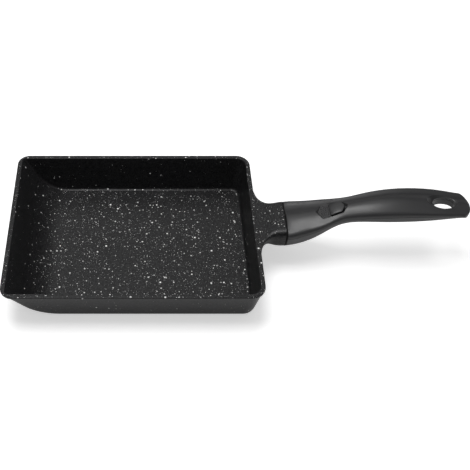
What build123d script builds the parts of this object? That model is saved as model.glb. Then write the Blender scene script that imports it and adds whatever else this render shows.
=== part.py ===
# Rolled-omelette pan with a detachable handle, in millimetres.
# +X runs along the handle, +Z is up, and the origin lies on the hob face under the middle of the rim.
from build123d import *
from math import cos, radians, sin, tan
import os

# Pan casting
rim_length = 200.0
rim_width = 152.4
pan_height = 36.2
rim_band = 3.7
rim_thickness = 2.2
rim_round = 0.7
far_corner = 10.0
near_corner = 11.5
wall = 2.9
slope_wall = 2.4
floor_thickness = 4.7
side_taper = 6.9
end_taper = 3.0
slope_degrees = 33.0
slope_bend = 31.0
crease_round = 2.4
base_round = 7.0
inner_corner = 7.8
mouth_round = 0.6
foot_groove_inset = 9.0
foot_groove_far_inset = 3.5
foot_groove_width = 1.6
foot_groove_depth = 0.5
foot_groove_corner = 6.0

# Cast stub with the tongue that the handle slides on to
stub_reach = 21.5
stub_width = 37.0
stub_depth = 18.7
stub_mid_height = 33.1
stub_round = 5.6
stub_flare = 17.0
web_width = 33.0
web_top_drop = 3.0
web_flare = 3.6
web_round = 3.9
tongue_length = 15.5
tongue_width = 16.5
tongue_thickness = 5.4
tongue_drop = 3.2
tongue_lead = 1.4
notch_setback = 7.3
notch_length = 4.4
notch_width = 10.0
notch_depth = 2.5

# Handle mouldings
seam_gap = 0.4
handle_length = 142.3
handle_width = 37.0
handle_depth = 18.9
handle_rise = 22.2
handle_crown = 1.3
handle_round = 3.4
handle_draft = 0.9
dome_share = 0.705
foot_share = 0.8
butt_corner = 10.5
butt_setback = 6.5
butt_round = 1.2
shell_wall = 2.6
parting_gap = 0.35

# Hanging hole
hole_length = 18.0
hole_width = 11.6
hole_setback = 20.0
hole_bevel = 2.4
hole_bevel_degrees = 52.0

# Thumb pocket and button
pocket_middle_share = 0.247
pocket_length = 22.1
pocket_front_width = 15.6
pocket_rear_width = 11.4
pocket_depth = 2.0
pocket_floor = 1.5
pocket_flare_degrees = 40.0
pocket_slope_degrees = 19.0
pocket_shoulder = 7.6
button_front = -1.8
button_rear_gap = 1.2
button_gap = 0.35
button_corner = 1.2
button_crest = 1.0
button_dome = 26.0
button_edge_round = 0.4
button_lip = 0.9
button_travel = 1.7
button_pad_length = 3.2
button_pad_width = 5.0

# Latch works
sheet = 0.8
sliding_gap = 0.3
frame_length = 12.4
ear_past_pin = 3.9
ear_above_pin = 3.0
ear_below_pin = 2.4
pin_diameter = 3.0
pin_share = 0.197
pin_lift = 4.1
pin_fit = 0.05
pin_head_diameter = 4.8
pin_head_thickness = 0.7
pin_tail = 1.1
clip_diameter = 5.4
clip_thickness = 0.5
clip_gap = 0.1
lever_width = 8.0
lever_thickness = 1.6
lever_boss_diameter = 5.6
lever_lift = 0.4
lever_rear = 12.4
lever_rear_degrees = 26.0
nose_length = 2.8
nose_gap = 0.35
nose_bevel = 0.8
spring_diameter = 5.0
spring_wire = 0.6
spring_coils = 4
spring_setback = 16.4
spring_seat_gap = 0.05
works_roof = 1.7
works_gap = 0.4

# Fasteners
screw_shank_diameter = 2.6
screw_head_diameter = 4.4
screw_head_height = 1.8
screw_seat_drop = 4.2
screw_bite = 3.2
screw_gap = 0.25
screw_recess_length = 2.4
screw_recess_width = 0.7
screw_recess_depth = 1.0
insert_diameter = 3.8
insert_length = 3.0
insert_sink = 0.8
insert_fit = 0.05
boss_diameter = 6.8
front_screw_offset = 13.1
screw_x_shares = (0.064, 0.421, 0.744)

overrun = 10.0

# Rows along the stub: reach, share of the flare, shares of the rise of its top and the fall of its underside.
stub_shares = [(-0.05, 1.0, 0.0, 0.0), (0.06, 0.55, 0.05, 0.03), (0.14, 0.33, 0.13, 0.1),
               (0.28, 0.13, 0.3, 0.32), (0.42, 0.03, 0.5, 0.62), (0.7, 0.0, 0.8, 0.95),
               (1.0, 0.0, 1.0, 1.0)]

# Rows along the web under the stub: reach and share of its flare.
web_shares = [(-0.19, 1.0), (-0.02, 0.32), (0.14, 0.0), (0.6, 0.0)]

# Rows along the handle: length, width, depth, rise, and where the parting line lies
# between the middle (0) and the top (1) of the section.
handle_shares = [
    (0.0, 1.0, 1.0, 0.0, 0.19),
    (0.064, 0.973, 0.985, 0.074, 0.18),
    (0.134, 0.886, 0.937, 0.194, 0.19),
    (0.197, 0.795, 0.783, 0.364, 0.22),
    (0.267, 0.648, 0.7, 0.58, 0.12),
    (0.337, 0.59, 0.68, 0.737, 0.0),
    (0.421, 0.65, 0.725, 0.857, -0.02),
    (0.576, 0.745, 0.833, 0.972, 0.06),
    (0.744, 0.766, 0.715, 0.996, 0.2),
    (0.898, 0.69, 0.476, 0.966, 0.22),
    (1.0, 0.645, 0.38, 0.915, 0.18),
]

# Places that several pieces share
rim_end = rim_length / 2
stub_end = rim_end + stub_reach
handle_start = stub_end + seam_gap
handle_end = handle_start + handle_length
slope = tan(radians(slope_degrees))
side_slope = side_taper / (pan_height - floor_thickness)
end_slope = end_taper / (pan_height - floor_thickness)
tongue_base_height = stub_mid_height - tongue_drop
tongue_top = tongue_base_height + tongue_thickness
tongue_end = stub_end + tongue_length
frame_front = handle_start
frame_end = frame_front + frame_length
frame_inner_width = tongue_width + 2 * sliding_gap
frame_outer_width = frame_inner_width + 2 * sheet
frame_bottom = tongue_base_height - sliding_gap - sheet
frame_top = tongue_top + sliding_gap + sheet
pin_x = handle_start + pin_share * handle_length
pin_height = frame_top + pin_lift
lever_bottom = frame_top + lever_lift
lever_top = lever_bottom + lever_thickness
notch_near = tongue_end - notch_setback + notch_length
notch_far = tongue_end - notch_setback
nose_near = notch_near - nose_gap
nose_far = nose_near - nose_length
nose_tip = tongue_top - notch_depth + nose_gap
spring_x = handle_start + spring_setback


def handle_row(share):
    """Half width, half depth, mid height and parting height at a share of the handle's length."""
    for before, after in zip(handle_shares, handle_shares[1:]):
        if share <= after[0]:
            break
    blend = (share - before[0]) / (after[0] - before[0])
    _, width, depth, rise, parting = [low + blend * (high - low) for low, high in zip(before, after)]
    half_depth = depth * handle_depth / 2
    middle = stub_mid_height + rise * handle_rise
    return width * handle_width / 2, half_depth, middle, middle + parting * half_depth


def handle_top(x):
    """Height of the handle's crest at a place along X."""
    _, half_depth, middle, _ = handle_row((x - handle_start) / handle_length)
    return middle + half_depth


def handle_form(inset, first, last):
    """Smooth body through domed sections, inset from the outside, between two rows of the table."""
    with BuildPart() as form:
        for row in handle_shares[first:last]:
            half_width, half_depth, middle, _ = handle_row(row[0])
            side = half_width - inset
            high = middle + half_depth - inset
            low = middle - half_depth + inset
            split = middle + row[4] * (half_depth - inset)
            swell = split + dome_share * (high - split)
            sill = low + handle_crown
            with BuildSketch(Plane.YZ.offset(handle_start + row[0] * handle_length)) as section:
                with BuildLine():
                    Spline((-side, split), (-dome_share * side, swell), (0, high),
                           (dome_share * side, swell), (side, split), tangents=((0, 1), (0, -1)))
                    Line((side, split), (side - handle_draft, sill))
                    ThreePointArc((side - handle_draft, sill), (0, low), (handle_draft - side, sill))
                    Line((handle_draft - side, sill), (-side, split))
                make_face()
                corners = section.vertices().group_by(Axis.Y)
                fillet(corners[0], radius=min(handle_round, foot_share * (split - sill)))
        loft()
    return form.part


def bowl(half_top, far_top, near_top, base, bend):
    """Tapered box whose far end is one long slope that bends into the base; it runs past the rim."""
    depth = pan_height - base
    far_bottom = far_top + depth * slope
    reach = bend * tan(radians(90 - slope_degrees) / 2)
    with BuildPart() as form:
        with BuildSketch(Plane.XZ):
            with BuildLine():
                lead = Line((far_top - overrun * slope, pan_height + overrun),
                            (far_bottom - reach * sin(radians(slope_degrees)),
                             base + reach * cos(radians(slope_degrees))))
                TangentArc(lead @ 1, (far_bottom + reach, base), tangent=lead % 1)
                Polyline((far_bottom + reach, base), (near_top - depth * end_slope, base),
                         (near_top + overrun * end_slope, pan_height + overrun), lead @ 0)
            make_face()
        extrude(amount=rim_width, both=True)
        with BuildSketch(Plane.YZ):
            with BuildLine():
                low = half_top - depth * side_slope
                high = half_top + overrun * side_slope
                Polyline((-low, base), (low, base), (high, pan_height + overrun),
                         (-high, pan_height + overrun), close=True)
            make_face()
        extrude(amount=rim_length, both=True, mode=Mode.INTERSECT)
    return form.part


def is_upright(edge):
    """True for the tall edges at the handle end."""
    return edge.center().X > 0 and edge.bounding_box().size.Z > pan_height / 2


def is_lower(edge):
    """True for the edges round the base and up the two creases, but not for the seams between them."""
    along_top = edge.bounding_box().min.Z > pan_height
    crosswise = edge.center().X < 0 and abs(edge.center().Y) < mouth_round
    return not along_top and not crosswise and not is_upright(edge)


def is_butt(edge):
    """True for the edges round the very end of the handle."""
    bounds = edge.bounding_box()
    return edge.center().X > handle_end - butt_corner and bounds.max.X > handle_end - butt_setback


def is_mouth(edge):
    """True for the inner edges of the mouth."""
    bounds = edge.bounding_box()
    inside = rim_band / 2 - rim_width / 2 < bounds.min.Y and bounds.max.Y < rim_width / 2 - rim_band / 2
    within = rim_band / 2 - rim_end < bounds.min.X and bounds.max.X < rim_end - rim_band / 2
    return inside and within and bounds.min.Z > pan_height - rim_thickness / 2


def sheet_side(points, width, plate, side):
    """One flat side plate of folded sheet, from its outline in the XZ plane."""
    with BuildPart() as form:
        with BuildSketch(Plane.XZ.offset(-side * width / 2)):
            with BuildLine():
                Polyline(*points, close=True)
            make_face()
        extrude(amount=side * plate)
    return form.part


# Hollow of the pan: steep drafted walls, and one long slope at the far end for rolling.
inner_half_top = rim_width / 2 - rim_band
inner_far = rim_band - rim_end
inner_near = rim_end - rim_band
with BuildPart() as pan_hollow:
    add(bowl(inner_half_top, inner_far, inner_near, floor_thickness, slope_bend))
    fillet(pan_hollow.edges().filter_by(is_upright), radius=inner_corner)
    fillet(pan_hollow.edges().filter_by(is_lower), radius=crease_round)

# Turned-out rim: a thin plate over the mouth, softened all round.
with BuildPart() as rim_plate:
    with BuildSketch(Plane.XY.offset(pan_height - rim_thickness)):
        Rectangle(rim_length, rim_width)
        fillet(vertices().group_by(Axis.X)[0], radius=far_corner)
        fillet(vertices().group_by(Axis.X)[-1], radius=near_corner)
    extrude(amount=rim_thickness)
    faces_up_down = rim_plate.faces().filter_by(Axis.Z)
    fillet(faces_up_down.edges(), radius=rim_round)

# Cast body: the outer skin follows the hollow one wall away, under the rim.
with BuildPart() as pan_body:
    add(bowl(inner_half_top + wall, inner_far - slope_wall / cos(radians(slope_degrees)), inner_near + wall,
             0, slope_bend + wall))
    fillet(pan_body.edges().filter_by(is_upright), radius=inner_corner + wall)
    fillet(pan_body.edges().filter_by(is_lower), radius=base_round)
    with BuildSketch(Plane.XY.offset(pan_height - rim_thickness / 2)):
        Rectangle(2 * rim_length, 2 * rim_width)
    extrude(amount=2 * overrun, mode=Mode.SUBTRACT)
    add(rim_plate.part)
    # stub: its root is drawn out of the rim, then it swells to the full section
    for reach, flare, rise, fall in stub_shares:
        half_width = stub_width / 2 + flare * stub_flare
        high = pan_height + rise * (stub_mid_height + stub_depth / 2 - pan_height)
        rim_low = pan_height - rim_thickness
        low = rim_low + fall * (stub_mid_height - stub_depth / 2 - rim_low)
        corner = rim_round + fall * (stub_round - rim_round)
        with BuildSketch(Plane.YZ.offset(rim_end + reach * stub_reach)):
            with Locations((0, (high + low) / 2)):
                RectangleRounded(2 * half_width, high - low, corner)
    loft()
    # web under the root, which spreads as it meets the end wall
    web_top = pan_height - web_top_drop
    for reach, flare in web_shares:
        spread = flare * web_flare
        low = stub_mid_height - stub_depth / 2 - spread
        with BuildSketch(Plane.YZ.offset(rim_end + reach * stub_reach)):
            with Locations((0, (low + web_top) / 2)):
                RectangleRounded(web_width + 2 * spread, web_top - low, web_round)
    loft()
    # tongue, lead-in at its tip and the notch that the latch drops into
    with BuildSketch(Plane.XZ):
        with BuildLine():
            Polyline((stub_end - wall, tongue_base_height), (tongue_end - tongue_lead, tongue_base_height),
                     (tongue_end, tongue_base_height + tongue_lead), (tongue_end, tongue_top - tongue_lead),
                     (tongue_end - tongue_lead, tongue_top), (stub_end - wall, tongue_top), close=True)
        make_face()
    extrude(amount=tongue_width / 2, both=True)
    with BuildSketch(Plane.XY.offset(tongue_top - notch_depth)):
        with Locations(((notch_far + notch_near) / 2, 0)):
            Rectangle(notch_length, notch_width)
    extrude(amount=notch_depth + sliding_gap, mode=Mode.SUBTRACT)
    add(pan_hollow.part, mode=Mode.SUBTRACT)
    fillet(pan_body.edges().filter_by(is_mouth), radius=mouth_round)
    # shallow groove that frames the ground face of the base
    bend_reach = (slope_bend + wall) * tan(radians(90 - slope_degrees) / 2)
    base_far = (inner_far - slope_wall / cos(radians(slope_degrees)) + pan_height * slope + bend_reach
                + foot_groove_far_inset)
    base_near = inner_near + wall - end_slope * pan_height - foot_groove_inset
    base_width = 2 * (inner_half_top + wall - side_slope * pan_height - foot_groove_inset)
    with BuildSketch(Plane.XY):
        with Locations(((base_far + base_near) / 2, 0)):
            RectangleRounded(base_near - base_far, base_width, foot_groove_corner)
            RectangleRounded(base_near - base_far - 2 * foot_groove_width, base_width - 2 * foot_groove_width,
                             foot_groove_corner - foot_groove_width, mode=Mode.SUBTRACT)
    extrude(amount=foot_groove_depth, mode=Mode.SUBTRACT)

# Curve where the two mouldings part, seen from the side, and the space above it.
with BuildPart() as above_parting:
    with BuildSketch(Plane.XZ):
        with BuildLine():
            line = [(handle_start + row[0] * handle_length, handle_row(row[0])[3]) for row in handle_shares]
            parting = Spline(*line)
            Polyline(parting @ 1, (handle_end + overrun, line[-1][1]),
                     (handle_end + overrun, pan_height + handle_length),
                     (handle_start - overrun, pan_height + handle_length),
                     (handle_start - overrun, line[0][1]), parting @ 0)
        make_face()
    extrude(amount=handle_width, both=True)

# Inside of the handle: a long hollow, less the bosses and the solid wall under the thumb pocket.
pocket_x = handle_start + pocket_middle_share * handle_length
pocket_top = handle_top(pocket_x)
pocket_lean = radians(pocket_slope_degrees)
pocket_plane = Plane(origin=(pocket_x, 0, pocket_top), x_dir=(cos(pocket_lean), 0, sin(pocket_lean)),
                     z_dir=(-sin(pocket_lean), 0, cos(pocket_lean)))
screw_places = [(handle_start + screw_x_shares[0] * handle_length, front_screw_offset),
                (handle_start + screw_x_shares[0] * handle_length, -front_screw_offset)]
screw_places += [(handle_start + share * handle_length, 0) for share in screw_x_shares[1:]]
with BuildPart() as handle_hollow:
    add(handle_form(shell_wall, 2, 9))
    with BuildSketch(pocket_plane.offset(-pocket_depth - pocket_floor)):
        Rectangle(pocket_length + 2 * shell_wall, handle_width)
    extrude(amount=overrun, mode=Mode.SUBTRACT)
    with BuildSketch(Plane.XY):
        with Locations(*screw_places[2:]):
            Circle(boss_diameter / 2)
    extrude(amount=pan_height + handle_length, mode=Mode.SUBTRACT)

# Both mouldings start from one form: the handle's outside, rounded at the butt, with the hanging hole.
hole_x = handle_end - hole_setback
butt_half_width = handle_row(handle_shares[-2][0])[0]
with BuildPart() as handle_blank:
    add(handle_form(0, 0, len(handle_shares)))
    with BuildSketch(Plane.XY):
        with Locations((handle_end - butt_corner - handle_length / 2, 0)):
            Rectangle(handle_length, handle_width + overrun)
        with Locations((handle_end - butt_corner, 0)):
            RectangleRounded(2 * butt_corner, 2 * butt_half_width, butt_corner - rim_round)
    extrude(amount=pan_height + handle_length, mode=Mode.INTERSECT)
    fillet(handle_blank.edges().filter_by(is_butt), radius=butt_round)
    with BuildSketch(Plane.XY):
        with Locations((hole_x, 0)):
            Ellipse(hole_length / 2, hole_width / 2)
    extrude(amount=pan_height + handle_length, mode=Mode.SUBTRACT)
    with BuildSketch(Plane.XY.offset(handle_top(hole_x) - hole_bevel)):
        with Locations((hole_x, 0)):
            Ellipse(hole_length / 2, hole_width / 2)
    extrude(amount=2 * hole_bevel, taper=-hole_bevel_degrees, mode=Mode.SUBTRACT)

# Folded steel frame: a sleeve round the tongue, and two ears that carry the latch pin.
frame_half = frame_outer_width / 2
ear_end = pin_x + ear_past_pin
ear_low = pin_height - ear_below_pin
ear_high = pin_height + ear_above_pin
ear_outline = [(frame_front + sheet, frame_bottom), (frame_end, frame_bottom), (ear_end, ear_low),
               (ear_end, ear_high), (pin_x - lever_boss_diameter, ear_high),
               (frame_end, frame_top), (frame_front + sheet, frame_top)]
with BuildPart() as latch_frame:
    with BuildSketch(Plane.YZ.offset(frame_front)):
        with Locations((0, (frame_bottom + frame_top) / 2)):
            Rectangle(frame_outer_width, frame_top - frame_bottom)
            Rectangle(frame_inner_width, frame_top - frame_bottom - 2 * sheet, mode=Mode.SUBTRACT)
    extrude(amount=frame_length)
    for side in (-1, 1):
        add(sheet_side(ear_outline, frame_outer_width, sheet, side))
    with BuildSketch(Plane.XY.offset(frame_top - sheet)):
        with Locations(((notch_far - sliding_gap + frame_end) / 2, 0)):
            Rectangle(frame_end - notch_far + sliding_gap, lever_width + 2 * works_gap)
    extrude(amount=sheet, mode=Mode.SUBTRACT)
    with BuildSketch(Plane.XZ):
        with Locations((pin_x, pin_height)):
            Circle(pin_diameter / 2 + pin_fit)
    extrude(amount=frame_outer_width, both=True, mode=Mode.SUBTRACT)

# Latch lever: nose in the tongue's notch, a boss on the pin, and an arm under the button.
rear_lean = radians(lever_rear_degrees)
with BuildPart() as latch_lever:
    with BuildSketch(Plane.XZ):
        with BuildLine():
            Polyline((nose_far, nose_tip + nose_bevel), (nose_far + nose_bevel, nose_tip),
                     (nose_near, nose_tip), (nose_near, lever_bottom),
                     (pin_x - lever_boss_diameter / 2, lever_bottom),
                     (pin_x, pin_height), (pin_x - lever_boss_diameter, lever_top),
                     (nose_far + nose_bevel, lever_top), (nose_far, lever_top - nose_bevel), close=True)
        make_face()
        with Locations((pin_x, pin_height)):
            Circle(lever_boss_diameter / 2)
            with Locations(Rotation(0, 0, lever_rear_degrees)):
                Rectangle(lever_rear, lever_thickness, align=(Align.MIN, Align.CENTER))
            Circle(pin_diameter / 2 + pin_fit, mode=Mode.SUBTRACT)
    extrude(amount=lever_width / 2, both=True)

# Pin: a flat head outside one ear and a tail through the other, held by a spring clip.
with BuildPart() as latch_pin:
    with BuildSketch(Plane.XZ.offset(frame_half + clip_gap)):
        with Locations((pin_x, pin_height)):
            Circle(pin_head_diameter / 2)
    extrude(amount=pin_head_thickness)
    with BuildSketch(Plane.XZ.offset(frame_half + clip_gap)):
        with Locations((pin_x, pin_height)):
            Circle(pin_diameter / 2)
    extrude(amount=-(frame_outer_width + clip_gap + pin_tail))
with BuildPart() as pin_clip:
    with BuildSketch(Plane.XZ.offset(-frame_half - clip_gap)):
        with Locations((pin_x, pin_height)):
            Circle(clip_diameter / 2)
            Circle(pin_diameter / 2 + pin_fit, mode=Mode.SUBTRACT)
            Rectangle(clip_diameter, pin_diameter - clip_thickness, align=(Align.MIN, Align.CENTER),
                      mode=Mode.SUBTRACT)
    extrude(amount=-clip_thickness)

# Return spring between the front arm of the lever and the roof of the works.
works_half = lever_width / 2 + works_gap
spring_roof = handle_top(spring_x - spring_diameter / 2) - works_roof
nose_roof = handle_top(nose_far - works_gap) - works_roof
spring_low = lever_top + spring_seat_gap
coil_rise = spring_roof - spring_seat_gap - spring_low - spring_wire
with BuildPart() as latch_spring:
    with BuildLine():
        coil = Helix(pitch=coil_rise / spring_coils, height=coil_rise,
                     radius=(spring_diameter - spring_wire) / 2,
                     center=(spring_x, 0, spring_low + spring_wire / 2))
    with BuildSketch(Plane(origin=coil @ 0, z_dir=coil % 0)):
        Circle(spring_wire / 2)
    sweep(is_frenet=True)
print("least gap between spring coils", coil_rise / spring_coils - spring_wire)

# Thumb pocket and the button in its rear half, both drawn on the leaning plane of the pocket.
pocket_half = pocket_length / 2
pocket_outline = [(-pocket_half, 0), (-pocket_shoulder, -pocket_front_width / 2),
                  (pocket_shoulder, -pocket_rear_width / 2), (pocket_half, 0),
                  (pocket_shoulder, pocket_rear_width / 2), (-pocket_shoulder, pocket_front_width / 2)]
button_rear = pocket_half - button_rear_gap
button_middle = (button_front + button_rear) / 2


def button_face(margin):
    """Outline of the button: the pocket's own sides, squared off at the front and the rear."""
    with BuildSketch() as face:
        Polygon(*pocket_outline, align=None)
        offset(amount=margin - button_gap, kind=Kind.INTERSECTION)
        with Locations((button_middle, 0)):
            Rectangle(button_rear - button_front + 2 * margin, pocket_front_width + pocket_rear_width,
                      mode=Mode.INTERSECT)
        fillet(face.vertices(), radius=button_corner)
    return face.sketch


lip_top = -pocket_depth - pocket_floor - sliding_gap
lever_tip = pocket_plane.to_local_coords(Vector(
    pin_x + lever_rear * cos(rear_lean) - lever_thickness / 2 * sin(rear_lean), 0,
    pin_height + lever_rear * sin(rear_lean) + lever_thickness / 2 * cos(rear_lean)))
with BuildPart() as release_button:
    with BuildSketch(pocket_plane.offset(lip_top - button_lip)):
        add(button_face(0))
    extrude(amount=button_crest - lip_top + button_lip)
    with Locations(pocket_plane.offset(button_crest - button_dome)):
        with Locations((button_middle, 0, 0)):
            Sphere(button_dome, mode=Mode.INTERSECT)
    fillet(release_button.faces().sort_by(Axis.Z)[-1].edges(), radius=button_edge_round)
    with BuildSketch(pocket_plane.offset(lip_top - button_lip)):
        add(button_face(button_lip))
    extrude(amount=button_lip)
    with BuildSketch(pocket_plane.offset(lip_top - button_lip)):
        with Locations((lever_tip.X - button_pad_length / 2, 0)):
            Rectangle(button_pad_length, button_pad_width)
    extrude(amount=lever_tip.Z + sliding_gap - lip_top + button_lip)

# Space for the works, cut from both mouldings: sleeve, ears, tongue tip, lever and pin ends.
recess_half = frame_half + sliding_gap
chamber_end = handle_start + handle_shares[3][0] * handle_length
with BuildPart() as works_space:
    with BuildSketch(Plane.YZ.offset(frame_front - overrun)):
        with Locations((0, (frame_bottom + frame_top) / 2)):
            Rectangle(2 * recess_half, frame_top - frame_bottom + 2 * sliding_gap)
    extrude(amount=overrun + frame_length + sliding_gap)
    with BuildSketch(Plane.XZ):
        with BuildLine():
            Polyline((frame_end, frame_bottom - sliding_gap), (ear_end + sliding_gap, ear_low - sliding_gap),
                     (ear_end + sliding_gap, ear_high + sliding_gap),
                     (pin_x - lever_boss_diameter - sliding_gap, ear_high + sliding_gap),
                     (frame_end, frame_top + sliding_gap), close=True)
        make_face()
    extrude(amount=recess_half, both=True)
    with BuildSketch(Plane.XZ):
        with BuildLine():
            Polyline((nose_far - 3 * works_gap, frame_bottom), (chamber_end, pin_height),
                     (chamber_end, spring_roof), (spring_x - spring_diameter / 2 - works_gap, spring_roof),
                     (spring_x - spring_diameter / 2 - works_gap, nose_roof),
                     (nose_far - 3 * works_gap, nose_roof), close=True)
        make_face()
    extrude(amount=works_half, both=True)
    with BuildSketch(Plane.XZ.offset(-frame_half - clip_gap - pin_tail - sliding_gap)):
        with Locations((pin_x, pin_height)):
            Circle(clip_diameter / 2 + sliding_gap)
    extrude(amount=2 * (frame_half + clip_gap + pin_tail + sliding_gap))
    with BuildSketch(pocket_plane.offset(lip_top - button_lip - button_travel - sliding_gap)):
        add(button_face(button_lip + sliding_gap))
    extrude(amount=button_lip + button_travel + 2 * sliding_gap)

# Screw places: two beside the sleeve and two on the middle line, each set out from the parting line there.
screws = [(x, y, handle_row((x - handle_start) / handle_length)[3]) for x, y in screw_places]

with BuildPart() as handle_upper_shell:
    add(handle_blank.part)
    add(above_parting.part, mode=Mode.INTERSECT)
    add(handle_hollow.part, mode=Mode.SUBTRACT)
    add(works_space.part, mode=Mode.SUBTRACT)
    with BuildSketch(pocket_plane.offset(-pocket_depth)):
        Polygon(*pocket_outline, align=None)
    extrude(amount=overrun, taper=-pocket_flare_degrees, mode=Mode.SUBTRACT)
    with BuildSketch(pocket_plane.offset(-overrun)):
        add(button_face(button_gap))
    extrude(amount=overrun, mode=Mode.SUBTRACT)
    for x, y, split in screws:
        with BuildSketch(Plane.XY.offset(split - overrun)):
            with Locations((x, y)):
                Circle(insert_diameter / 2)
        extrude(amount=overrun + insert_sink + insert_length, mode=Mode.SUBTRACT)
        with BuildSketch(Plane.XY.offset(split)):
            with Locations((x, y)):
                Circle(screw_shank_diameter / 2 + screw_gap)
        extrude(amount=screw_bite + insert_sink, mode=Mode.SUBTRACT)

with BuildPart() as handle_lower_shell:
    add(handle_blank.part)
    add(above_parting.part.moved(Location((0, 0, -parting_gap))), mode=Mode.SUBTRACT)
    add(handle_hollow.part, mode=Mode.SUBTRACT)
    add(works_space.part, mode=Mode.SUBTRACT)
    for x, y, split in screws:
        with BuildSketch(Plane.XY.offset(split - screw_seat_drop)):
            with Locations((x, y)):
                Circle(screw_shank_diameter / 2 + screw_gap)
        extrude(amount=overrun, mode=Mode.SUBTRACT)
        with BuildSketch(Plane.XY):
            with Locations((x, y)):
                Circle(screw_head_diameter / 2 + screw_gap)
        extrude(amount=split - screw_seat_drop, mode=Mode.SUBTRACT)

# Screws driven up from below, each with a cross recess, and the brass inserts that they bite in.
with BuildPart() as shell_screws:
    for x, y, split in screws:
        seat = split - screw_seat_drop
        with BuildSketch(Plane.XY.offset(seat - screw_head_height)):
            with Locations((x, y)):
                Circle(screw_head_diameter / 2)
        extrude(amount=screw_head_height)
        with BuildSketch(Plane.XY.offset(seat)):
            with Locations((x, y)):
                Circle(screw_shank_diameter / 2)
        extrude(amount=screw_seat_drop + screw_bite)
        with BuildSketch(Plane.XY.offset(seat - screw_head_height)):
            with Locations((x, y)):
                Rectangle(screw_recess_length, screw_recess_width)
                Rectangle(screw_recess_width, screw_recess_length)
        extrude(amount=screw_recess_depth, mode=Mode.SUBTRACT)
with BuildPart() as threaded_inserts:
    for x, y, split in screws:
        with BuildSketch(Plane.XY.offset(split + insert_sink)):
            with Locations((x, y)):
                Circle(insert_diameter / 2 - insert_fit)
                Circle(screw_shank_diameter / 2 + insert_fit, mode=Mode.SUBTRACT)
        extrude(amount=insert_length - insert_fit)

pieces = {
    "pan_body": pan_body, "handle_upper_shell": handle_upper_shell, "handle_lower_shell": handle_lower_shell,
    "latch_frame": latch_frame, "latch_lever": latch_lever, "latch_pin": latch_pin, "pin_clip": pin_clip,
    "latch_spring": latch_spring, "release_button": release_button, "shell_screws": shell_screws,
    "threaded_inserts": threaded_inserts,
}
os.makedirs("parts", exist_ok=True)
for name, piece in pieces.items():
    piece.part.label = name
    export_step(piece.part, f"parts/{name}.step")
    print(name, round(piece.part.volume, 1), len(piece.part.solids()), piece.part.is_valid)
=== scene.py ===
# %% [markdown]
# # Dressing a rolled-omelette pan for its picture
#
# The CAD model has already settled where every piece is and how large it is, so this lesson is about looks.
# We load the model as a frame that never moves, light it as a small studio would, and give each piece the
# finish that its real material has. Then we add the few raised details that are too small for the CAD model.

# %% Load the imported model
import math
import bmesh
import bpy
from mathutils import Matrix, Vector


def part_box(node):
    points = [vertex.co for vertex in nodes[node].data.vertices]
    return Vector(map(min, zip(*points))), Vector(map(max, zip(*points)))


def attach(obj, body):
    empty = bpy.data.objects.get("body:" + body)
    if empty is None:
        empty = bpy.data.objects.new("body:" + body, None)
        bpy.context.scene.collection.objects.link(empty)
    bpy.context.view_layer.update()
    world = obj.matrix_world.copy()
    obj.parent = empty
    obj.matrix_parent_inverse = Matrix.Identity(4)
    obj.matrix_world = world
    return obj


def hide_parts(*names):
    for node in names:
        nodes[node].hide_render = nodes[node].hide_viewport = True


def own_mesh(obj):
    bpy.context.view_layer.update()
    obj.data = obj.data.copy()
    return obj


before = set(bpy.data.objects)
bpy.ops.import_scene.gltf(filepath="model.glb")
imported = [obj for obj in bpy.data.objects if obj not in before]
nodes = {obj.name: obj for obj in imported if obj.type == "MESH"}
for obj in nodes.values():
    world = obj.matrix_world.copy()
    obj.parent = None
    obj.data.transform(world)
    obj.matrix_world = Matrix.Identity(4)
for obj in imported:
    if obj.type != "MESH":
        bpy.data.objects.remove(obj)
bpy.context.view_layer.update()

mm = 0.001
print("pieces:", ", ".join(sorted(nodes)))

# %% [markdown]
# ## The camera
#
# The two short ends of the rim run together towards one point far above the pan. That point gives the tilt of
# the camera and the length of its lens. It lies left of the middle of the picture, because the photographer
# framed pan and handle together, so the lens is shifted sideways instead of turning the camera.

# %% Place the camera
image_size = 470                        # the picture is this many pixels wide
sensor_width = 36
focal_pixels = 767                      # focal length, in pixels of that picture
vanishing_column = 139.53               # column that the two short ends of the rim run towards
look_down = math.radians(49.57)
aim = Vector((5, 0, 36.2)) * mm         # a point on the rim's level, near the middle of the pan
aim_depth = 618.6 * mm                  # how far it lies from the camera, along the view
aim_rise = 11.31 * mm                   # how far it lies above the line of the view
forward = Vector((0, math.cos(look_down), -math.sin(look_down)))
upward = Vector((0, math.sin(look_down), math.cos(look_down)))

camera = bpy.data.objects.new("camera", bpy.data.cameras.new("camera"))
bpy.context.scene.collection.objects.link(camera)
bpy.context.scene.camera = camera
camera.location = aim - aim_depth * forward - aim_rise * upward
camera.rotation_euler = (math.pi / 2 - look_down, 0, 0)
camera.data.sensor_width = sensor_width
camera.data.lens = focal_pixels / image_size * sensor_width
camera.data.shift_x = (image_size / 2 - vanishing_column) / image_size
bpy.context.scene.view_settings.view_transform = "Standard"
print("camera at", [round(value, 4) for value in camera.location], "lens", round(camera.data.lens, 2))

# %% [markdown]
# ## Small helpers
#
# A finish is a little graph of nodes. One function adds a node, sets its options, and fills or links its
# inputs. A second turns a colour as a screen shows it, such as `#808080`, into the linear numbers that light
# works in. A third starts an empty material.
#
# An input goes by its name, or by its number where a node has several of one name. A Mix node has its share at
# 0, two numbers at 2 and 3, and two colours at 6 and 7. A Map Range node has the value at 0, the range that it
# comes from at 1 and 2, and the range that it goes to at 3 and 4.

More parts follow.
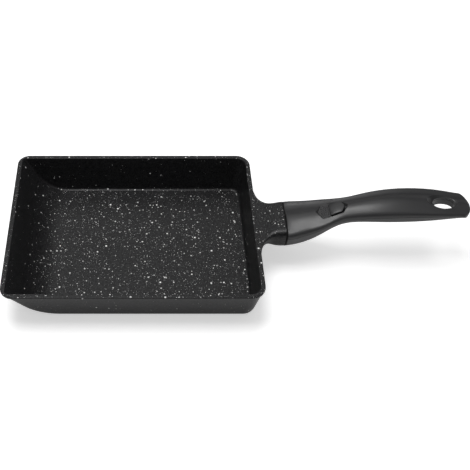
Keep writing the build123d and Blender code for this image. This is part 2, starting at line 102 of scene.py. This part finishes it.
# %% Helpers for nodes and colours
def add(tree, kind, inputs=None, **options):
    """Adds one node to a tree, sets its options, then fills or links its inputs."""
    node = tree.nodes.new(kind)
    for name, value in options.items():
        setattr(node, name, value)
    for name, value in (inputs or {}).items():
        if isinstance(value, bpy.types.NodeSocket):
            tree.links.new(value, node.inputs[name])
        else:
            node.inputs[name].default_value = value
    return node


def linear(code):
    """Linear colour of an sRGB hex code."""
    shares = [int(code[start:start + 2], 16) / 255 for start in (1, 3, 5)]
    return [s / 12.92 if s <= 0.04045 else ((s + 0.055) / 1.055) ** 2.4 for s in shares] + [1]


def new_material(name):
    """An empty material, its tree and its output node."""
    material = bpy.data.materials.new(name)
    material.use_nodes = True
    material.node_tree.nodes.clear()
    return material, material.node_tree, add(material.node_tree, "ShaderNodeOutputMaterial")


print("middle grey is", round(linear("#808080")[0], 3), "in linear light")

# %% [markdown]
# ## The floor
#
# The pan stands on a table in matt white paint. Such a table could be lit until it burns out, but that light
# would bleach the pan too. Here the light stays plain, and the table glows a little for the camera. It still
# takes the pan's soft shadow, and the glow grows with distance, so that the table's edge never shows against
# the white room. Gloss sees much less of the glow, or the pan's walls would mirror a burnt-out table.

# %% Lay the floor
floor_reach = 1.1                       # metres from the middle to each edge
floor_drop = 0.05 * mm                  # keeps the table out of the plane of the pan's foot
floor_mesh = bpy.data.meshes.new("floor")
corners = [(x, y, -floor_drop) for x, y in ((-1, -1), (1, -1), (1, 1), (-1, 1))]
floor_mesh.from_pydata([(x * floor_reach, y * floor_reach, z) for x, y, z in corners], [], [(0, 1, 2, 3)])
floor = bpy.data.objects.new("floor", floor_mesh)
bpy.context.scene.collection.objects.link(floor)
print("floor is", 2 * floor_reach, "m wide")

# %% Paint the floor
near_reach, near_glow = 0.35, 0.52      # metres from the pan, and how strongly the table glows up to there
far_reach, far_glow = 1.0, 1.0          # the same, from there on
mirrored_glow = 0.2                     # what a glossy or clear surface sees of the glow

white_table, tree, output = new_material("white_table")
rays = add(tree, "ShaderNodeLightPath")
mirrored = add(tree, "ShaderNodeMath", {0: rays.outputs["Is Glossy Ray"],
                                        1: rays.outputs["Is Transmission Ray"]}, operation="MAXIMUM")
for_gloss = add(tree, "ShaderNodeMath", {0: mirrored.outputs[0], 1: mirrored_glow}, operation="MULTIPLY")
coordinates = add(tree, "ShaderNodeTexCoord")
from_pan = add(tree, "ShaderNodeVectorMath", {0: coordinates.outputs["Object"]}, operation="LENGTH")
for_camera = add(tree, "ShaderNodeMapRange", {0: from_pan.outputs["Value"], 1: near_reach, 2: far_reach,
                                              3: near_glow, 4: far_glow})
strength = add(tree, "ShaderNodeMath", {0: rays.outputs["Is Camera Ray"], 1: for_camera.outputs[0],
                                        2: for_gloss.outputs[0]}, operation="MULTIPLY_ADD")
paint = add(tree, "ShaderNodeBsdfDiffuse", {"Color": linear("#f2f2f2")})
glow = add(tree, "ShaderNodeEmission", {"Color": linear("#ffffff"), "Strength": strength.outputs[0]})
both = add(tree, "ShaderNodeAddShader", {0: paint.outputs[0], 1: glow.outputs[0]})
tree.links.new(both.outputs[0], output.inputs["Surface"])
floor.data.materials.append(white_table)
print("table glows", near_glow, "near the pan and", far_glow, "far from it")

# %% [markdown]
# ## The lamps
#
# Black things are seen by what they mirror. In the photograph the handle has a soft bright band along its
# crest, and the level tops are dark grey. So one small soft lamp hangs nearly overhead and makes the band. A
# wide weak one hangs above and behind, in the place that a level top mirrors into the camera, and greys it.

# %% Hang the lamps
def hang_lamp(name, place, aim_at, size, power):
    """A square soft lamp that hangs at a place and faces a point."""
    lamp = bpy.data.objects.new(name, bpy.data.lights.new(name, "AREA"))
    bpy.context.scene.collection.objects.link(lamp)
    lamp.data.shape = "SQUARE"
    lamp.data.size = size
    lamp.data.energy = power
    lamp.location = place
    lamp.rotation_euler = (Vector(aim_at) - Vector(place)).to_track_quat("-Z", "Y").to_euler()
    print(name, "hangs at", [round(value, 2) for value in place], "with", power, "W")


# Places and sizes are in metres and power is in watts.
part_middle = (0.05, 0, 0.03)
hang_lamp("top_lamp", (-0.15, 0.05, 1.1), part_middle, 0.5, 6.8)
hang_lamp("wide_lamp", (-0.1, 0.78, 1.0), part_middle, 1.0, 2.0)

# %% [markdown]
# ## The room
#
# The walls that face the camera are nearly black in the photograph, and the handle has a black band along its
# side, so the studio was dark to the front and sides and pale above. One colour ramp over the height of the
# sky gives that: pale at the horizon, where it joins the table, dark above it, and paler again overhead. The
# camera itself sees plain white, so the background stays white from every side.

# %% Fade the room
room_steps = [(0.0, "#f4f4f4"), (0.05, "#e6e6e6"), (0.09, "#161616"), (0.5, "#2c2c2c"), (0.95, "#c0c0c0")]
room = bpy.data.worlds.new("room")
bpy.context.scene.world = room
room.use_nodes = True
tree = room.node_tree
tree.nodes.clear()
direction = add(tree, "ShaderNodeTexCoord")
height = add(tree, "ShaderNodeSeparateXYZ", {0: direction.outputs["Generated"]})
fade = add(tree, "ShaderNodeValToRGB", {0: height.outputs["Z"]})
while len(fade.color_ramp.elements) < len(room_steps):
    fade.color_ramp.elements.new(1.0)
for element, (sky_height, code) in zip(fade.color_ramp.elements, room_steps):
    element.position = sky_height
    element.color = linear(code)
rays = add(tree, "ShaderNodeLightPath")
backdrop = add(tree, "ShaderNodeMix", {0: rays.outputs["Is Camera Ray"], 6: fade.outputs[0],
                                       7: linear("#ffffff")}, data_type="RGBA")
sky = add(tree, "ShaderNodeBackground", {"Color": backdrop.outputs[2], "Strength": 1.0})
add(tree, "ShaderNodeOutputWorld", {"Surface": sky.outputs[0]})
print("room fades over", len(room_steps), "steps of height")

# %% [markdown]
# ## Patterns in real sizes
#
# Grains, clouds and scratches look right only at their real size. So each pattern is cut from coordinates in
# millimetres, and its scale is one over a size that could be measured on the real surface.

# %% Coordinates in millimetres
def in_mm(tree):
    """Places on the piece, in millimetres."""
    coordinates = add(tree, "ShaderNodeTexCoord")
    return add(tree, "ShaderNodeVectorMath", {0: coordinates.outputs["Object"], "Scale": 1 / mm},
               operation="SCALE").outputs[0]


print("coordinates are", 1 / mm, "to the metre")

# %% [markdown]
# ## Painted shade at the joint
#
# Where the handle meets the pan, the narrow gap between them lies in shade, and that shade is painted as a
# dark, dull line. The line lies on both pieces, so one function darkens the colour and roughens the shine of
# whichever finish comes near it.

# %% Darken the joint
seam_at = 121.7                         # middle of the joint, in millimetres along X
seam_core, seam_edge = 0.55, 1.05       # millimetres from there at which the painted shade is full, and gone
# colour and roughness of the shade painted into the gap at the joint
seam_shade_colour, seam_shade_roughness = linear("#040404"), 0.9


def with_painted_seam_shade(tree, place, colour, roughness):
    """A colour and a roughness, made dark and dull where the shade of the joint is painted in."""
    along = add(tree, "ShaderNodeSeparateXYZ", {0: place})
    offset = add(tree, "ShaderNodeMath", {0: along.outputs["X"], 1: seam_at}, operation="SUBTRACT")
    away = add(tree, "ShaderNodeMath", {0: offset.outputs[0]}, operation="ABSOLUTE")
    # the mask of the painted shade, full at the gap and gone a millimetre away
    shade_mask = add(tree, "ShaderNodeMapRange", {0: away.outputs[0], 1: seam_core, 2: seam_edge, 3: 1.0, 4: 0.0})
    colour = add(tree, "ShaderNodeMix", {0: shade_mask.outputs[0], 6: colour, 7: seam_shade_colour}, data_type="RGBA")
    roughness = add(tree, "ShaderNodeMix", {0: shade_mask.outputs[0], 2: roughness, 3: seam_shade_roughness})
    return colour.outputs[2], roughness.outputs[0]


print("joint lies", seam_at, "mm along the pan")

# %% [markdown]
# ## The stone coating
#
# The pan is cast aluminium under a sprayed non-stick coating in a stone style: a charcoal base coat, then pale
# flecks spattered from above. A picture of flecks could be wrapped round the pan, but it would smear on the
# walls. Flecks made from 3-D cells have no seams: each cell holds one grain, and the surface cuts through it.
#
# To the eye the base coat is a soft dark grey with a satin shine, and each fleck is a crisp pale chip.

# %% Cut grains from cells
smallest_grain = 0.35                   # radius of the smallest grain, as a share of the largest
grain_edge = 0.12                       # width of a grain's soft edge, as a share of the largest radius


def flecks(tree, place, spacing, radius, share):
    """Grains one to a cell: the mask of the grains and a random shade for each."""
    cells = add(tree, "ShaderNodeTexVoronoi", {"Vector": place, "Scale": 1 / spacing}, feature="F1")
    chance = add(tree, "ShaderNodeSeparateColor", {0: cells.outputs["Color"]})
    reach = add(tree, "ShaderNodeMapRange", {0: chance.outputs["Green"],
                                             3: smallest_grain * radius / spacing, 4: radius / spacing})
    inside = add(tree, "ShaderNodeMath", {0: reach.outputs[0], 1: cells.outputs["Distance"]},
                 operation="SUBTRACT")
    grain = add(tree, "ShaderNodeMapRange", {0: inside.outputs[0], 1: 0.0, 2: grain_edge * radius / spacing})
    kept = add(tree, "ShaderNodeMath", {0: chance.outputs["Red"], 1: share}, operation="LESS_THAN")
    mask = add(tree, "ShaderNodeMath", {0: grain.outputs[0], 1: kept.outputs[0]}, operation="MULTIPLY")
    return mask.outputs[0], chance.outputs["Blue"]


print("grains run from", smallest_grain, "to 1 of the largest radius")

# %% Mix the base coat
# Charcoal with a fine dark and light grit about a millimetre across, under clouds of four millimetres.
mottle_size, grit_size = 4.0, 1.0
grit_low, grit_high = 0.38, 0.62        # a narrow range of the noise makes the grit crisp
mottle_share = 0.2                      # how much of the tone comes from the clouds
stone_coating, tree, output = new_material("non_stick_on_cast_aluminium")
coating_place = in_mm(tree)
mottle = add(tree, "ShaderNodeTexNoise", {"Vector": coating_place, "Scale": 1 / mottle_size, "Detail": 4.0})
fine_grit = add(tree, "ShaderNodeTexNoise", {"Vector": coating_place, "Scale": 1 / grit_size, "Detail": 2.0})
crisp_grit = add(tree, "ShaderNodeMapRange", {0: fine_grit.outputs[0], 1: grit_low, 2: grit_high})
tone = add(tree, "ShaderNodeMix", {0: mottle_share, 2: crisp_grit.outputs[0], 3: mottle.outputs[0]})
base_coat = add(tree, "ShaderNodeMix", {0: tone.outputs[0], 6: linear("#0a0a0b"), 7: linear("#2d2d2e")},
                data_type="RGBA")
print("base coat has grit of", grit_size, "mm and clouds of", mottle_size, "mm")

# %% [markdown]
# ## Where the spatter lands
#
# The flecks fell from above, so level faces catch many and steep walls catch few. They also fell in drifts a
# couple of centimetres across. One number carries both: the share of the grains that is caught at each place.

# %% Catch the spatter
steep_power = 4.0                       # how fast the catch drops as a face gets steeper
least_caught = 0.08                     # what an upright wall still catches
drift_size = 16.0
thin_cloud, thick_cloud = 0.35, 0.65    # nearly all of a noise's values lie between these
thin_drift, thick_drift = 0.7, 1.25     # what a drift does to the share that is caught
normal = add(tree, "ShaderNodeTexCoord")
facing = add(tree, "ShaderNodeSeparateXYZ", {0: normal.outputs["Normal"]})
upturned = add(tree, "ShaderNodeMath", {0: facing.outputs["Z"], 1: 0.0}, operation="MAXIMUM")
level = add(tree, "ShaderNodeMath", {0: upturned.outputs[0], 1: steep_power}, operation="POWER")
landed = add(tree, "ShaderNodeMath", {0: level.outputs[0], 1: 1 - least_caught, 2: least_caught},
             operation="MULTIPLY_ADD")
clouds = add(tree, "ShaderNodeTexNoise", {"Vector": coating_place, "Scale": 1 / drift_size, "Detail": 1.0})
drift = add(tree, "ShaderNodeMapRange", {0: clouds.outputs[0], 1: thin_cloud, 2: thick_cloud,
                                         3: thin_drift, 4: thick_drift})
caught = add(tree, "ShaderNodeMath", {0: landed.outputs[0], 1: drift.outputs[0]}, operation="MULTIPLY")
print("an upright wall catches", least_caught, "of the spatter")

# %% Spatter the flecks
# Spacing of the cells and largest radius of a grain, in millimetres, and share of the cells that hold one.
spatter = [(0.85, 0.16, 0.36), (1.4, 0.27, 0.44), (2.6, 0.5, 0.55), (4.7, 0.84, 0.82)]
# Grains aren't round, so the places are shaken by a fifth of a millimetre before the cells are cut.
shake_size, shake_reach = 0.9, 0.22
wobble = add(tree, "ShaderNodeTexNoise", {"Vector": coating_place, "Scale": 1 / shake_size, "Detail": 2.0})
centred = add(tree, "ShaderNodeVectorMath", {0: wobble.outputs["Color"], 1: (0.5, 0.5, 0.5)},
              operation="SUBTRACT")
shake = add(tree, "ShaderNodeVectorMath", {0: centred.outputs[0], "Scale": shake_reach}, operation="SCALE")
shaken = add(tree, "ShaderNodeVectorMath", {0: coating_place, 1: shake.outputs[0]}, operation="ADD")
coating_colour = base_coat.outputs[2]
for spacing, radius, share in spatter:
    portion = add(tree, "ShaderNodeMath", {0: caught.outputs[0], 1: share}, operation="MULTIPLY")
    mask, shade = flecks(tree, shaken.outputs[0], spacing, radius, portion.outputs[0])
    pale = add(tree, "ShaderNodeMix", {0: shade, 6: linear("#d2d2d1"), 7: linear("#fefefd")},
               data_type="RGBA")
    coating_colour = add(tree, "ShaderNodeMix", {0: mask, 6: coating_colour, 7: pale.outputs[2]},
                         data_type="RGBA").outputs[2]
print("stone coating has", len(spatter), "sizes of fleck")

# %% [markdown]
# ## The skin of the coating
#
# A sprayed coat dries with a faint orange peel, about a millimetre across, which breaks up its shine. The
# non-stick resin bends light less than most plastics do (IOR about 1.35, against 1.5), so it starts dark and
# soft. Satin coats have a roughness of about 0.3.

# %% Finish the coating
peel_size, peel_depth, peel_strength = 1.1, 0.1 * mm, 0.8
least_rough, most_rough = 0.28, 0.38    # the clouds of the base coat show in the shine too
coating_ior = 1.32
peel = add(tree, "ShaderNodeTexNoise", {"Vector": coating_place, "Scale": 1 / peel_size, "Detail": 3.0})
bump = add(tree, "ShaderNodeBump", {"Height": peel.outputs[0], "Strength": peel_strength,
                                    "Distance": peel_depth})
satin = add(tree, "ShaderNodeMapRange", {0: mottle.outputs[0], 3: least_rough, 4: most_rough})
# the shade of the joint is painted into the coating's colour here
coating_colour, coating_roughness = with_painted_seam_shade(tree, coating_place, coating_colour, satin.outputs[0])
coat = add(tree, "ShaderNodeBsdfPrincipled", {"Base Color": coating_colour, "Roughness": coating_roughness,
                                              "Normal": bump.outputs[0], "IOR": coating_ior})
tree.links.new(coat.outputs[0], output.inputs["Surface"])
print("coating has an IOR of", coating_ior)

# %% [markdown]
# ## The phenolic handle
#
# Stove handles are moulded in phenolic, a black thermoset that stands the heat. It leaves a satin-polished
# steel mould, so to the eye it has a soft sheen, and the bright band along it is the overhead lamp in that
# sheen. The button's mould is polished further, so its sheen is tighter and its grain is weaker. Phenolic has
# an IOR of about 1.5 to 1.6 and a satin moulding a roughness of about 0.35.
#
# The real grain is a few hundredths of a millimetre, far too fine for the picture, so it is drawn ten times
# as coarse. The sheen also has faint clouds about 14 mm across, from flow in the mould and from handling.

# %% Mix the phenolic
phenolic_ior = 1.48
grain_depth = 0.04 * mm
cloud_size, cloud_roughness = 14.0, 0.05
cloud_colour = linear("#353536")


def moulded_phenolic(name, code, satin, grain_size, grain_strength):
    """Satin black thermoset with a fine moulded grain and faint clouds in its sheen."""
    material, tree, output = new_material(name)
    place = in_mm(tree)
    grain = add(tree, "ShaderNodeTexNoise", {"Vector": place, "Scale": 1 / grain_size, "Detail": 2.0})
    clouds = add(tree, "ShaderNodeTexNoise", {"Vector": place, "Scale": 1 / cloud_size, "Detail": 3.0})
    bump = add(tree, "ShaderNodeBump", {"Height": grain.outputs[0], "Strength": grain_strength,
                                        "Distance": grain_depth})
    sheen = add(tree, "ShaderNodeMapRange", {0: clouds.outputs[0], 3: satin - cloud_roughness,
                                             4: satin + cloud_roughness})
    black = add(tree, "ShaderNodeMix", {0: clouds.outputs[0], 6: linear(code), 7: cloud_colour},
                data_type="RGBA")
    # the shade of the joint is painted into the phenolic's colour here
    colour, roughness = with_painted_seam_shade(tree, place, black.outputs[2], sheen.outputs[0])
    body = add(tree, "ShaderNodeBsdfPrincipled", {"Base Color": colour, "Roughness": roughness,
                                                  "Normal": bump.outputs[0], "IOR": phenolic_ior})
    tree.links.new(body.outputs[0], output.inputs["Surface"])
    return material


phenolic = moulded_phenolic("moulded_phenolic", "#2f2f30", 0.36, 0.5, 0.3)
smooth_phenolic = moulded_phenolic("polished_phenolic", "#262627", 0.3, 0.9, 0.12)
print("phenolic mixed twice, satin and polished")

# %% [markdown]
# ## The metals inside
#
# A metal has no colour under its shine, so its base colour is the colour of its mirror, and how it was made
# shows in its fine scratches. A noise that is stretched along one direction gives them. Real brush lines are
# about a twentieth of a millimetre apart, and here they are drawn some five times as coarse. Worked metal has
# a roughness of about 0.3.

# %% Mix the metals
scratch_depth, scratch_strength = 0.02 * mm, 0.2
scratch_roughness = 0.08                # how far the roughness swings between the lines
scratch_shade = 0.8                     # how much darker the deepest lines are


def metal(name, code, dull, scratch_mm, lengthways):
    """Bare metal whose fine scratches run along the direction with the smallest number."""
    material, tree, output = new_material(name)
    stretch = add(tree, "ShaderNodeMapping", {"Vector": in_mm(tree), "Scale": lengthways})
    scratches = add(tree, "ShaderNodeTexNoise", {"Vector": stretch.outputs[0], "Scale": 1 / scratch_mm,
                                                 "Detail": 4.0})
    bump = add(tree, "ShaderNodeBump", {"Height": scratches.outputs[0], "Strength": scratch_strength,
                                        "Distance": scratch_depth})
    wear = add(tree, "ShaderNodeMapRange", {0: scratches.outputs[0], 3: dull - scratch_roughness,
                                            4: dull + scratch_roughness})
    darker = [channel * scratch_shade for channel in linear(code)[:3]] + [1]
    tone = add(tree, "ShaderNodeMix", {0: scratches.outputs[0], 6: darker, 7: linear(code)}, data_type="RGBA")
    body = add(tree, "ShaderNodeBsdfPrincipled", {"Base Color": tone.outputs[2], "Metallic": 1.0,
                                                  "Roughness": wear.outputs[0], "Normal": bump.outputs[0]})
    tree.links.new(body.outputs[0], output.inputs["Surface"])
    return material


# Sheet that was brushed along its length: pale grey, with its highlights drawn out across the lines.
stainless = metal("brushed_stainless_steel", "#c4c2be", 0.32, 0.3, (0.08, 1, 1))
# Drawn wire and strip under a film of oil: darker, and a little smoother.
spring_steel = metal("oiled_spring_steel", "#8d8a86", 0.28, 0.25, (1, 1, 0.3))
# Zinc plating over cold-headed steel: an even, faintly blue grey with no direction.
zinc_plate = metal("zinc_plated_steel", "#c9ccd0", 0.36, 0.6, (1, 1, 1))
# Bar stock from the lathe: a warm yellow shine.
brass = metal("turned_brass", "#c9a24f", 0.3, 0.3, (1, 1, 0.1))
print("four metals mixed")

# %% [markdown]
# ## Dress the CAD pieces
#
# Every CAD piece but the spring already has its right shape, so it stays, and only its material changes. The
# spring is wound again further down.

# %% Hand out the finishes
finishes = {
    "pan_body": stone_coating,
    "handle_upper_shell": phenolic, "handle_lower_shell": phenolic, "release_button": smooth_phenolic,
    "latch_frame": stainless, "latch_lever": stainless, "latch_pin": stainless,
    "pin_clip": spring_steel,
    "shell_screws": zinc_plate, "threaded_inserts": brass,
}
for name, finish in finishes.items():
    if not nodes[name].material_slots:
        nodes[name].data.materials.append(finish)
    for slot in nodes[name].material_slots:
        slot.material = finish
print(len(finishes), "pieces dressed")

# %% [markdown]
# ## From rings to a piece
#
# A dome and a wire are made the same way: rings of points one after another, and a skin of faces between each
# ring and the next. Three small functions do this work for both of the pieces that follow.

# %% Helpers for rings
def ring_of(shape, middle, radius, first, second, steps):
    """A ring of points in the plane of two directions. Sizes are in millimetres."""
    ring = []
    for step in range(steps):
        angle = 2 * math.pi * step / steps
        offset = radius * (math.cos(angle) * first + math.sin(angle) * second)
        ring.append(shape.verts.new((middle + offset) * mm))
    return ring


def skin(shape, rings):
    """Side faces between each ring and the next."""
    for low, high in zip(rings, rings[1:]):
        for step in range(len(low)):
            following = (step + 1) % len(low)
            shape.faces.new((low[step], low[following], high[following], high[step]))


def as_piece(name, shape, finish, smooth_corners):
    """Turns a shape into a piece. Its faces with at most so many corners are shaded smooth."""
    bmesh.ops.recalc_face_normals(shape, faces=shape.faces)
    mesh = bpy.data.meshes.new(name)
    shape.to_mesh(mesh)
    shape.free()
    mesh.polygons.foreach_set("use_smooth", [len(face.vertices) <= smooth_corners for face in mesh.polygons])
    mesh.materials.append(finish)
    piece = bpy.data.objects.new(name, mesh)
    bpy.context.scene.collection.objects.link(piece)
    print(name, "has", len(mesh.polygons), "faces")
    return piece


# %% [markdown]
# ## The grip dots in the thumb pocket
#
# The front of the pocket, where the thumb rests before it presses, is moulded with rows of small raised dots.
# A bump map would fade at a low angle, so each dot is a real little dome, and all of them are in one mesh. The
# dots follow the pocket's leaning floor. Places on it are measured from its middle: u runs towards the butt of
# the handle and v runs across it.

# %% Place the grip dots
# Sizes are in millimetres.
pocket_lean = math.radians(19)
along = Vector((math.cos(pocket_lean), 0, math.sin(pocket_lean)))
across = Vector((0, 1, 0))
out = Vector((-math.sin(pocket_lean), 0, math.cos(pocket_lean)))
crest_over_pocket = Vector((157.05, 0, 51.45))
pocket_depth = 2.0
pocket_floor = crest_over_pocket - pocket_depth * out
# The pocket's outline widens from its front end to its shoulders, then narrows slowly.
pocket_front, pocket_shoulder = -11.05, -7.6
shoulder_half_width, pocket_taper = 7.8, 0.138
first_row, last_place, edge_margin = -9.9, -2.7, 1.0
dot_rows, dots_each_side = 5, 5
dot_spacing, row_pitch = 1.9, 0.87      # rows are closer than dots, because every other row is set off by half


def in_pocket(u, v):
    """True where a dot fits on the bare part of the pocket floor."""
    widening = (u - pocket_front) / (pocket_shoulder - pocket_front) * shoulder_half_width
    narrowing = shoulder_half_width - (u - pocket_shoulder) * pocket_taper
    return u < last_place and abs(v) < min(widening, narrowing) - edge_margin


dot_places = []
for row in range(dot_rows):
    u = first_row + row * dot_spacing * row_pitch
    for column in range(-dots_each_side, dots_each_side + 1):
        v = (column + 0.5 * (row % 2)) * dot_spacing
        if in_pocket(u, v):
            dot_places.append((u, v))
print(len(dot_places), "grip dots fit in the pocket")

# %% Raise the grip dots
dot_radius, dot_rise, dot_foot, dot_steps = 0.62, 0.5, 0.12, 10
# Share of the radius and height of each ring, from the foot under the pocket's floor up to the dome.
dome = [(1.0, -dot_foot), (1.0, 0.0), (0.86, 0.55 * dot_rise), (0.5, 0.9 * dot_rise)]
dots = bmesh.new()
for u, v in dot_places:
    foot = pocket_floor + u * along + v * across
    rings = [ring_of(dots, foot + height * out, dot_radius * share, along, across, dot_steps)
             for share, height in dome]
    dots.faces.new(list(reversed(rings[0])))
    skin(dots, rings)
    crest = dots.verts.new((foot + dot_rise * out) * mm)
    for step in range(dot_steps):
        dots.faces.new((rings[-1][step], rings[-1][(step + 1) % dot_steps], crest))
grip_dots = as_piece("pocket_grip_dots", dots, phenolic, smooth_corners=dot_steps)
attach(grip_dots, "pan")
print(len(dot_places), "grip dots raised by", dot_rise, "mm")

# %% [markdown]
# ## The return spring
#
# Inside the handle a small coil spring pushes the latch lever down again. The CAD coil can't give way in a
# picture, so the rising lever would cut through it. Here the wire is wound again, with its two end turns
# closed as on a real spring. It could be wound anew for each pose; here it is wound once.

# %% Measure the spring
spring_low, spring_high = (Vector(corner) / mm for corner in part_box("latch_spring"))
wire, wire_sides, turn_steps = 0.6, 10, 28
first_centre, both_ends = 0.51 * wire, 1.02 * wire      # a hair over half a wire at either end, to clear it
coil_radius = (spring_high.x - spring_low.x - wire) / 2
coil_middle = (spring_low + spring_high) / 2
coil_rise = spring_high.z - spring_low.z - both_ends
turns, closed_pitch = 4, 1.05 * wire
open_pitch = (coil_rise - 2 * closed_pitch) / (turns - 2)
print("coil radius", round(coil_radius, 2), "mm, open pitch", round(open_pitch, 2), "mm")

# %% Wind the spring
def height_at(turn):
    """Height of the wire above its start: closed for the first and last turn, open between."""
    return (closed_pitch * (min(turn, 1) + max(turn - turns + 1, 0))
            + open_pitch * max(min(turn - 1, turns - 2), 0))


coil = bmesh.new()
rings = []
for step in range(turns * turn_steps + 1):
    angle = 2 * math.pi * step / turn_steps
    radial = Vector((math.cos(angle), math.sin(angle), 0))
    rise = height_at((step + 0.5) / turn_steps) - height_at((step - 0.5) / turn_steps)
    slope = rise * turn_steps / (2 * math.pi * coil_radius)
    sideways = Vector((-radial.y, radial.x, slope)).normalized().cross(radial)
    centre = Vector((coil_middle.x, coil_middle.y, spring_low.z + first_centre + height_at(step / turn_steps)))
    centre += coil_radius * radial
    rings.append(ring_of(coil, centre, wire / 2, radial, sideways, wire_sides))
skin(coil, rings)
coil.faces.new(rings[0])
coil.faces.new(rings[-1])
return_spring = as_piece("return_spring", coil, spring_steel, smooth_corners=4)
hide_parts("latch_spring")
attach(return_spring, "pan")
print("spring wound in", turns, "turns")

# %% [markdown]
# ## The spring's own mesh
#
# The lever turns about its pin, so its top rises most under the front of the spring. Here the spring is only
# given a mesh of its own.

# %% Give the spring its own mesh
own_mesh(return_spring)
